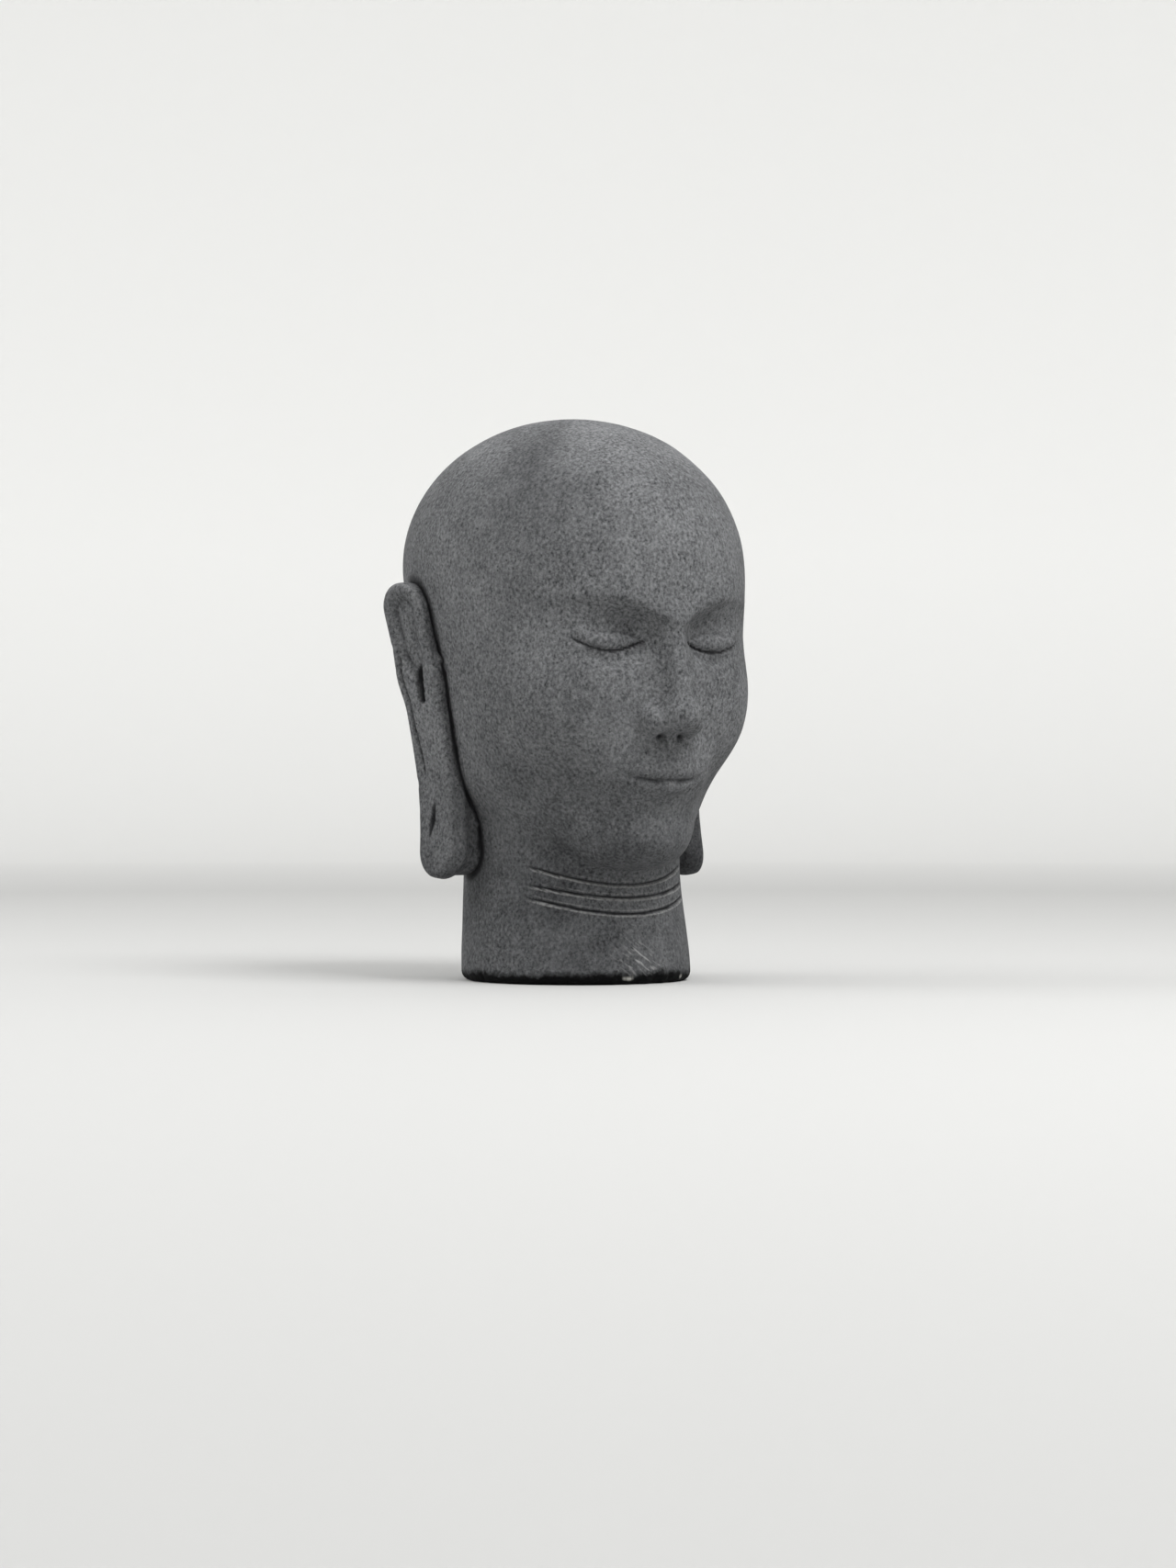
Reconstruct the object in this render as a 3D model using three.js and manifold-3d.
// Stone buddha head, carved in one piece with its neck, and the neck is cut flat below.
// Millimetres, Z up, the face looks to minus Y, and the origin is the middle of the flat underside.
import * as THREE from "three";
import Module from "manifold-3d";

// Main sizes
const skullWidth = 227; // over the temples, without the ears
const skullDepth = 282; // brow to the back of the skull
const faceHeight = 308; // crown to chin
const neckHeight = 88; // chin to the flat underside
const neckWidth = 161; // at the underside
const neckDepth = 166; // at the underside
const throatWidth = 152; // where the neck is slimmest
const throatDepth = 154;
const nodAngle = 4; // degrees, how far the face looks down
const nodHeight = 150; // the height that the nod turns about

// The head below is drawn on this pattern, and takes its real width, depth and heights from above
const pattern = { width: 227, depth: 282, face: 308, neck: 88 };

// Masses of the head, each with its centre and its half sizes
const cranium = { at: [0, 12.5, 289.4], half: [113.5, 141, 105.9] };
const faceMass = { at: [0, -19, 208], half: [102, 108, 113], soft: 34 };
const jaw = { from: [54, -4, 146], to: [20, -76, 115], radii: [29, 27], soft: 30 };
const cheek = { at: [44, -68, 200], half: [38, 38, 36], soft: 34 };
const chin = { at: [0, -96, 109], half: [31, 27, 22], soft: 20 };
const mouthMound = { at: [0, -101, 155], half: [40, 30.5, 28], soft: 20 };

// Eyes and brows
const socket = { at: [43, -133, 246], half: [33, 24, 19], soft: 14 };
const eyeball = { at: [41, -95.5, 242], half: [25, 20, 15.5], soft: 6 };
const lid = { middle: 41, halfWidth: 21, low: 236.5, rise: 5.5, thick: 1.5, groove: 1.4, wide: 2.5 };
const lidReach = { inner: [15, 21], outer: [67, 61], front: [-90, -100], edge: [-0.5, 0.7], fold: [14, 5] };
const brow = { low: 258, arch: 16, span: 94, round: 6, proud: 2.8, above: 15, below: 5 };
const browReach = { outer: [92, 55], front: [-62, -92] };

// Nose
const noseBody = { from: [0, -110, 264], to: [0, -119, 196], radii: [9, 17.5], soft: 14 };
const noseRidge = { from: [0, -124.5, 262], to: [0, -144, 198], radii: [6.2, 8.2], soft: 11 };
const noseTip = { at: [0, -143, 193.5], half: [12.5, 12, 10.5], soft: 7 };
const noseWing = { at: [14.5, -129, 189], half: [8, 12.5, 9], soft: 6 };
const nostril = { at: [8, -134, 178.5], half: [4.4, 7.5, 3.8], soft: 3 };

// Mouth
const philtrum = { from: [0, -139.5, 178], to: [0, -139.5, 166], radii: [2.6, 3], soft: 6 };
const upperLip = { from: [4, -127.5, 156], to: [28, -120.5, 152], radii: [6.2, 3.4], soft: 4 };
const lowerLip = { from: [0, -125, 144.5], to: [24, -120, 149.5], radii: [8, 4], soft: 4 };
const mouthLine = { height: 150.4, dip: 0.9, dipWidth: 35, rise: 1.4, depth: 2.3, wide: 1.7 };
const mouthReach = { outer: [33, 27], front: [-100, -110], lift: [12, 32] };
const underLip = { from: [0, -134, 131.5], to: [13, -131, 132.5], radii: [6.5, 5.5], soft: 10 };

// Neck and base
const neckFoot = { middle: -3, halfWidth: neckWidth / 2, halfDepth: neckDepth / 2 };
const neckTop = { middle: 3, halfWidth: throatWidth / 2, halfDepth: throatDepth / 2 };
const taperHeight = 85; // the neck widens below this height
const neckReach = neckHeight + faceHeight / 2; // the neck runs up this far inside the head
const throatSoft = 9; // blend of jaw and neck at the front
const napeSoft = 46; // blend of skull and neck at the back
const napeReach = [0, 70]; // from the middle to the back, over which the blend widens
const arrisSoft = 7; // worn lower edge
const foldShares = [0.777, 0.677, 0.552]; // of the neck's height, the three lines round the throat
const foldRises = [20, 14, 17]; // how much each line would climb by the side of the neck
const foldDepth = 2;
const foldHalfWidth = 2.4;
const foldSharpness = 0.7; // the cut's slope against its half width
const foldEnds = [44, 62]; // degrees either side of the front over which a line fades out
const foldCover = [12, 5]; // a line fades where the jaw covers the neck this deep

// Ears, in their own axes: across to the back, down from the top, and out from the head
const earTop = [125.5, 25, 278];
const earFoot = [108.5, 8.5, 73];
const earBow = 8; // how far the middle of the ear sits in from a straight line
const bowShape = 1.6; // above 1, the bow is deepest below the middle
const earFlare = [16, 8]; // degrees that the outer face turns forwards, at the top and at the lobe
const earHalfWidth = 19.5; // at the top
const earSet = [3, 0.5]; // how far back the upper part stands from the ear's axis, at its top and foot
const earWaist = 18.5;
const lobeHalfWidth = 19;
const earUpperPart = 66; // where the wide upper part passes into the long lobe
const earThickness = 15;
const topSink = { depth: 4, from: 16, to: 5 }; // the top of the ear is thicker and sinks into the skull
const earEdge = 4.5; // rounding of the rim
const earJoin = 12; // blend of the upper part and the lobe
const rootInset = [9, 3]; // how far the root that joins the head is set in from the rim, above and below
const rootChange = [60, 140]; // between these distances from the top the inset changes
const rootDepths = [-34, -6]; // of the root, in from the outer face
const rootSoft = 7;
const bowl = { from: [3, 20.5], to: [0.5, 50], radii: [14.5, 11.5] }; // hollow inside the rim
const channel = { from: [0.5, 50], to: [-2.5, 66], radii: [11.5, 5] }; // its lower end
const hollowDepth = 5;
const hollowSlope = [1, -7]; // its floor falls from the rim over this distance
const hollowSoft = 8;
const hollowArris = 2;

// Fineness of the faceted surface
const headColumns = 72;
const frontCrowding = 0.62; // columns stand closer together on the face
const rowBands = [ // share of the way from crown to throat, and the rows up to there
  { to: 0.5, rows: 9 },
  { to: 0.57, rows: 2 },
  { to: 0.66, rows: 6 },
  { to: 0.73, rows: 3 },
  { to: 0.87, rows: 14 },
  { to: 1, rows: 5 },
];
const arrisRows = 4;
const arrisRadius = 12; // of the fan of rays that meets the lower edge
const heart = [0, 4, 255]; // rays for the head start here
const throatLine = { middle: 129, swing: 47 }; // where the head's rows pass into the neck's
const headReach = [25, 230]; // how far along a ray the surface is looked for
const neckWindow = [-40, 22];
const throatRows = [0, 0.4, 0.75]; // shares of the way from the throat down to the first line
const tiltFade = 3; // how soon the rays down the neck turn level
const edgeReach = [0.5, 40];
const earReach = [0.5, 48];
const earEnds = [14, 12]; // the ear's ring of rays turns into a cap this far from its top and foot
const earColumns = 22;
const earCapRows = 3;
const earBodyRows = 19;
const earSpine = -12; // rays for an ear start from a strip this deep inside it
const raySpread = 0.6; // share of a ray's way across the ear that its start is set aside
const walkSteps = 30; // a ray is walked in from its far end, so that the outermost skin is found
const walkShare = 0.7; // of the distance to the stone, taken with each step
const lastStretch = 1.5; // the last bit of a ray, which is halved
const halvings = 14;

const degrees = (a) => (a * Math.PI) / 180;
const clamp = (t) => Math.min(1, Math.max(0, t));
const mix = (a, b, t) => a + (b - a) * t;
const bump = (t) => Math.exp(-t * t);

// Smooth step from 0 at a to 1 at b.
function ramp(x, a, b) {
  const t = clamp((x - a) / (b - a));
  return t * t * (3 - 2 * t);
}

// Signed distance to an ellipsoid, negative inside.
function ellipsoid(p, { at, half }) {
  let near = 0;
  let slope = 0;
  for (let i = 0; i < 3; i++) {
    const q = (p[i] - at[i]) / half[i];
    near += q * q;
    slope += (q / half[i]) ** 2;
  }
  near = Math.sqrt(near);
  return (near * (near - 1)) / Math.max(Math.sqrt(slope), 1e-6);
}

// Signed distance to a rod with round ends whose radius changes along it.
function rod(p, { from, to, radii }) {
  const along = from.map((a, i) => to[i] - a);
  const off = p.map((a, i) => a - from[i]);
  const t = clamp(dot(off, along) / dot(along, along));
  return Math.hypot(...off.map((a, i) => a - t * along[i])) - mix(radii[0], radii[1], t);
}

function dot(a, b) {
  return a.reduce((sum, v, i) => sum + v * b[i], 0);
}

// Union and cut with the meeting edge softened over the length k.
function blend(a, b, k) {
  const h = clamp(0.5 + (0.5 * (b - a)) / k);
  return b + (a - b) * h - k * h * (1 - h);
}

function carve(a, b, k) {
  return -blend(-a, b, k);
}

const join = (d, p, mass) => blend(d, ellipsoid(p, mass), mass.soft);
const joinRod = (d, p, mass) => blend(d, rod(p, mass), mass.soft);

// The neck's outline at height z.
function neckAt(z) {
  const t = ramp(z, 0, taperHeight);
  return {
    middle: mix(neckFoot.middle, neckTop.middle, t),
    halfWidth: mix(neckFoot.halfWidth, neckTop.halfWidth, t),
    halfDepth: mix(neckFoot.halfDepth, neckTop.halfDepth, t),
  };
}

function neckRadius(u, { halfWidth, halfDepth }) {
  return 1 / Math.hypot(Math.sin(u) / halfWidth, Math.cos(u) / halfDepth);
}

// A point of the real head on the pattern, and back.
const across = skullWidth / pattern.width;
const deep = skullDepth / pattern.depth;
const tall = faceHeight / pattern.face;
const toPattern = ([x, y, z]) => [x / across, y / deep, pattern.neck + (z - neckHeight) / tall];
const fromPattern = ([x, y, z]) => [x * across, y * deep, neckHeight + (z - pattern.neck) * tall];

// Eyeball, upper lid and the groove under it, on the half where x is positive.
function carveEye(d, m) {
  const [x, y, z] = m;
  d = join(d, m, eyeball);
  const line = lid.low + lid.rise * ((x - lid.middle) / lid.halfWidth) ** 2;
  const there = ramp(x, ...lidReach.inner) * ramp(x, ...lidReach.outer) * ramp(y, ...lidReach.front);
  const upper = ramp(z - line, ...lidReach.edge) * ramp(z - line, ...lidReach.fold);
  return d + (lid.groove * bump((z - line) / lid.wide) - lid.thick * upper) * there;
}

function carveBrow(d, [x, y, z]) {
  const aside = Math.hypot(x, brow.round) - brow.round;
  const line = brow.low + brow.arch * Math.sin(Math.PI * clamp(aside / brow.span));
  const off = z > line ? (z - line) / brow.above : (z - line) / brow.below;
  return d - brow.proud * bump(off) * ramp(x, ...browReach.outer) * ramp(y, ...browReach.front);
}

function carveNose(d, m) {
  d = joinRod(d, m, noseBody);
  d = joinRod(d, m, noseRidge);
  d = join(d, m, noseTip);
  d = join(d, m, noseWing);
  return carve(d, ellipsoid(m, nostril), nostril.soft);
}

function carveMouth(d, m) {
  const [x, y, z] = m;
  d = carve(d, rod(m, philtrum), philtrum.soft);
  d = joinRod(d, m, upperLip);
  d = joinRod(d, m, lowerLip);
  const dip = mouthLine.dip * Math.cos(Math.PI * clamp(x / mouthLine.dipWidth));
  const line = mouthLine.height - dip + mouthLine.rise * ramp(x, ...mouthReach.lift);
  const there = ramp(x, ...mouthReach.outer) * ramp(y, ...mouthReach.front);
  d += mouthLine.depth * bump((z - line) / mouthLine.wide) * there;
  return carve(d, rod(m, underLip), underLip.soft);
}

// The height of one line round the throat, u being the angle from the front.
const foldHeight = (i, u) => foldShares[i] * neckHeight + foldRises[i] * Math.sin(u) ** 2;

function carveFolds(d, p, u, neck) {
  const fade = ramp(u, degrees(foldEnds[1]), degrees(foldEnds[0])) * ramp(neck, ...foldCover);
  foldShares.forEach((share, i) => {
    d += foldDepth * bump((p[2] - foldHeight(i, u)) / (foldHalfWidth * foldSharpness)) * fade;
  });
  return d;
}

// The whole head without its ears: below zero inside the stone, above zero outside.
function headField(p) {
  const [c, s] = [Math.cos(degrees(nodAngle)), Math.sin(degrees(nodAngle))];
  const [x, y, high] = toPattern(p);
  const z = high - nodHeight;
  const m = [Math.abs(x), y * c + z * s, z * c - y * s + nodHeight];
  let d = ellipsoid(m, cranium);
  d = join(d, m, faceMass);
  d = joinRod(d, m, jaw);
  d = join(d, m, cheek);
  d = join(d, m, chin);
  d = join(d, m, mouthMound);
  d = carve(d, ellipsoid(m, socket), socket.soft);
  d = carveNose(d, m);
  d = carveEye(d, m);
  d = carveBrow(d, m);
  d = carveMouth(d, m);
  const at = neckAt(p[2]);
  const round = Math.hypot(p[0] / at.halfWidth, (p[1] - at.middle) / at.halfDepth) - 1;
  const neck = Math.max(round * Math.min(at.halfWidth, at.halfDepth), p[2] - neckReach);
  d = blend(d, neck, mix(throatSoft, napeSoft, ramp(p[1], ...napeReach)));
  d = carveFolds(d, p, Math.atan2(Math.abs(p[0]), at.middle - p[1]), neck);
  return carve(d, p[2], arrisSoft);
}

// Distance in the plane of the ear to a strip with round ends.
function strip(p, q, { from, to, radii }) {
  return rod([p, q, 0], { from: [...from, 0], to: [...to, 0], radii });
}

// A plate of outline distance o between two depths, with its edges rounded to r.
function plate(o, n, low, high, r) {
  const a = o + r;
  const b = Math.abs(n - (low + high) / 2) - (high - low) / 2 + r;
  return Math.min(Math.max(a, b), 0) + Math.hypot(Math.max(a, 0), Math.max(b, 0)) - r;
}

const earLength = Math.hypot(...earTop.map((v, i) => v - earFoot[i]));

const earUpper = {
  from: [earSet[0], earHalfWidth],
  to: [earSet[1], earUpperPart],
  radii: [earHalfWidth, earWaist],
};
const lobeMiddle = earLength - lobeHalfWidth;
const earLobe = { from: [0, earUpperPart], to: [0, lobeMiddle], radii: [earWaist, lobeHalfWidth] };

function earField([p, q, n]) {
  const outline = blend(strip(p, q, earUpper), strip(p, q, earLobe), earJoin);
  const sink = topSink.depth * ramp(q, topSink.from, topSink.to);
  let d = plate(outline, n, -earThickness - sink, 0, earEdge);
  const inset = mix(...rootInset, ramp(q, ...rootChange));
  d = blend(d, plate(outline + inset, n, ...rootDepths, earEdge), rootSoft);
  const hollow = blend(strip(p, q, bowl), strip(p, q, channel), hollowSoft);
  const floor = -(n + hollowDepth * ramp(hollow, ...hollowSlope));
  return carve(d, Math.max(hollow, floor), hollowArris);
}

// From an ear's own axes to its place on the head, on the side where x is positive.
function earPlace([p, q, n]) {
  const t = q / earLength;
  const inside = clamp(t);
  const turn = degrees(mix(earFlare[0], earFlare[1], inside));
  const spine = earTop.map((v, i) => mix(v, earFoot[i], t));
  const bow = earBow * Math.sin(Math.PI * inside ** bowShape);
  const [c, s] = [Math.cos(turn), Math.sin(turn)];
  return fromPattern([spine[0] - bow + s * p + c * n, spine[1] + c * p - s * n, spine[2]]);
}

// Where the ray from o along v leaves the field's solid for good, between two lengths.
function solve(field, o, v, nearest, farthest) {
  const along = (t) => o.map((a, k) => a + v[k] * t);
  let high = farthest;
  for (let i = 0; i < walkSteps; i++) {
    high = Math.max(nearest, high - walkShare * Math.max(0, field(along(high))));
  }
  let low = Math.max(nearest, high - lastStretch);
  for (let i = 0; i < halvings; i++) {
    const mid = (low + high) / 2;
    if (field(along(mid)) < 0) low = mid;
    else high = mid;
  }
  return along(low);
}

// Heights of the rows down the neck at angle u: each line round the throat gets three rows.
function neckHeights(u, top) {
  const zs = foldShares.flatMap((share, i) =>
    [1, 0, -1].map((step) => foldHeight(i, Math.abs(u)) + step * foldHalfWidth),
  );
  const first = throatRows.map((t) => mix(top, zs[0], t));
  return [...first, ...zs, mix(zs.at(-1), arrisRadius, 0.5), arrisRadius];
}

function rowShares() {
  const starts = [0, ...rowBands.map((band) => band.to)];
  return rowBands.flatMap(({ to, rows }, i) =>
    Array.from({ length: rows }, (unused, k) => mix(starts[i], to, (k + 1) / rows)),
  );
}

// Rays of one column from the crown, over the face and down the neck to the underside.
function columnRays(u) {
  const [c, s] = [Math.cos(u), Math.sin(u)];
  const turned = (a) => [s * Math.cos(a), -c * Math.cos(a), Math.sin(a)];
  const rays = [];
  const start = fromPattern(heart);
  const top = fromPattern([0, 0, throatLine.middle - throatLine.swing * c])[2];
  const last = Math.PI - Math.atan2(neckRadius(u, neckTop), start[2] - top);
  for (const share of rowShares().slice(0, -1)) {
    rays.push([start, turned(Math.PI / 2 - last * share), ...headReach]);
  }
  neckHeights(u, top).forEach((z, i, all) => {
    const at = neckAt(z);
    const r = neckRadius(u, at);
    const tilt = (Math.PI / 2 - last) * (1 - i / (all.length - 1)) ** tiltFade;
    rays.push([[s * r, at.middle - c * r, z], turned(tilt), ...neckWindow]);
  });
  const foot = neckRadius(u, neckFoot) - arrisRadius;
  const pivot = [s * foot, neckFoot.middle - c * foot, arrisRadius];
  for (let i = 1; i <= arrisRows; i++) {
    rays.push([pivot, turned((-Math.PI / 2) * (i / arrisRows)), ...edgeReach]);
  }
  return rays;
}

// Closes a grid of rows and columns with a pole at each end, and gives the solid. The squares are
// split along mirrored diagonals left and right.
function closedSolid(wasm, rows, firstPole, lastPole, flip) {
  const columns = rows[0].length;
  const points = [...rows.flat(), firstPole, lastPole];
  const [first, last] = [points.length - 2, points.length - 1];
  const faces = [];
  const at = (row, column) => row * columns + (column % columns);
  for (let k = 0; k < columns; k++) {
    faces.push([first, at(0, k), at(0, k + 1)]);
    faces.push([last, at(rows.length - 1, k + 1), at(rows.length - 1, k)]);
    for (let row = 0; row + 1 < rows.length; row++) {
      const [a, b, c, d] = [at(row, k), at(row + 1, k), at(row + 1, k + 1), at(row, k + 1)];
      if (k < columns / 2) faces.push([a, b, c], [a, c, d]);
      else faces.push([a, b, d], [b, c, d]);
    }
  }
  const mesh = new wasm.Mesh({
    numProp: 3,
    vertProperties: new Float32Array(points.flat()),
    triVerts: new Uint32Array((flip ? faces.map((f) => [...f].reverse()) : faces).flat()),
  });
  return new wasm.Manifold(mesh);
}

function headSolid(wasm) {
  const columns = [];
  for (let k = 0; k < headColumns; k++) {
    const s = (k / headColumns) * 2 * Math.PI;
    columns.push(columnRays(s - frontCrowding * Math.sin(s)).map((ray) => solve(headField, ...ray)));
  }
  const rows = columns[0].map((unused, row) => columns.map((column) => column[row]));
  const crown = solve(headField, fromPattern(heart), [0, 0, 1], ...headReach);
  return closedSolid(wasm, rows, crown, [0, neckFoot.middle, 0], false);
}

// Rays round the ear, evenly spaced along a box of its width and depth.
function earRays() {
  const [halfAcross, halfDeep] = [earHalfWidth - 2, (earThickness - rootDepths[0]) / 4];
  const total = 4 * (halfAcross + halfDeep);
  const rays = [];
  for (let k = 0; k < earColumns; k++) {
    let s = ((k + 0.5) / earColumns) * total;
    const sides = [
      [halfAcross, -halfDeep, 0, 1, 2 * halfDeep],
      [halfAcross, halfDeep, -1, 0, 2 * halfAcross],
      [-halfAcross, halfDeep, 0, -1, 2 * halfDeep],
      [-halfAcross, -halfDeep, 1, 0, 2 * halfAcross],
    ];
    for (const [x, y, dx, dy, length] of sides) {
      if (s <= length) {
        const [aside, out] = [x + dx * s, y + dy * s];
        rays.push({ aside: raySpread * aside, angle: Math.atan2(out, (1 - raySpread) * aside) });
        break;
      }
      s -= length;
    }
  }
  return rays;
}

function earSolid(wasm, side) {
  const [first, last] = [earEnds[0], earLength - earEnds[1]];
  const rays = earRays();
  const rings = [];
  for (let i = 1; i < earCapRows; i++) rings.push([first, -Math.PI / 2 + ((i / earCapRows) * Math.PI) / 2]);
  for (let i = 0; i < earBodyRows; i++) rings.push([mix(first, last, i / (earBodyRows - 1)), 0]);
  for (let i = 1; i < earCapRows; i++) rings.push([last, ((i / earCapRows) * Math.PI) / 2]);
  const put = (aside, q, v) => {
    const [x, y, z] = earPlace(solve(earField, [aside, q, earSpine], v, ...earReach));
    return [side * x, y, z];
  };
  const rows = rings.map(([q, e]) =>
    rays.map(({ aside, angle }) => {
      const level = Math.cos(e);
      return put(aside * level, q, [level * Math.cos(angle), Math.sin(e), level * Math.sin(angle)]);
    }),
  );
  return closedSolid(wasm, rows, put(0, first, [0, -1, 0]), put(0, last, [0, 1, 0]), side > 0);
}

const wasm = await Module();
wasm.setup();
const carved = headSolid(wasm).add(earSolid(wasm, 1)).add(earSolid(wasm, -1));
const result = carved.getMesh();
const positions = [];
for (let i = 0; i < result.numVert; i++) {
  positions.push(...result.vertProperties.subarray(i * result.numProp, i * result.numProp + 3));
}
const geometry = new THREE.BufferGeometry();
geometry.setAttribute("position", new THREE.Float32BufferAttribute(positions, 3));
geometry.setIndex(new THREE.BufferAttribute(result.triVerts, 1));
geometry.computeVertexNormals();

const stone = new THREE.MeshStandardMaterial({ color: 0x565659, roughness: 0.9 });
const head = new THREE.Mesh(geometry, stone);
head.name = "stone_head";
const part = new THREE.Group();
part.add(head);
export default part;
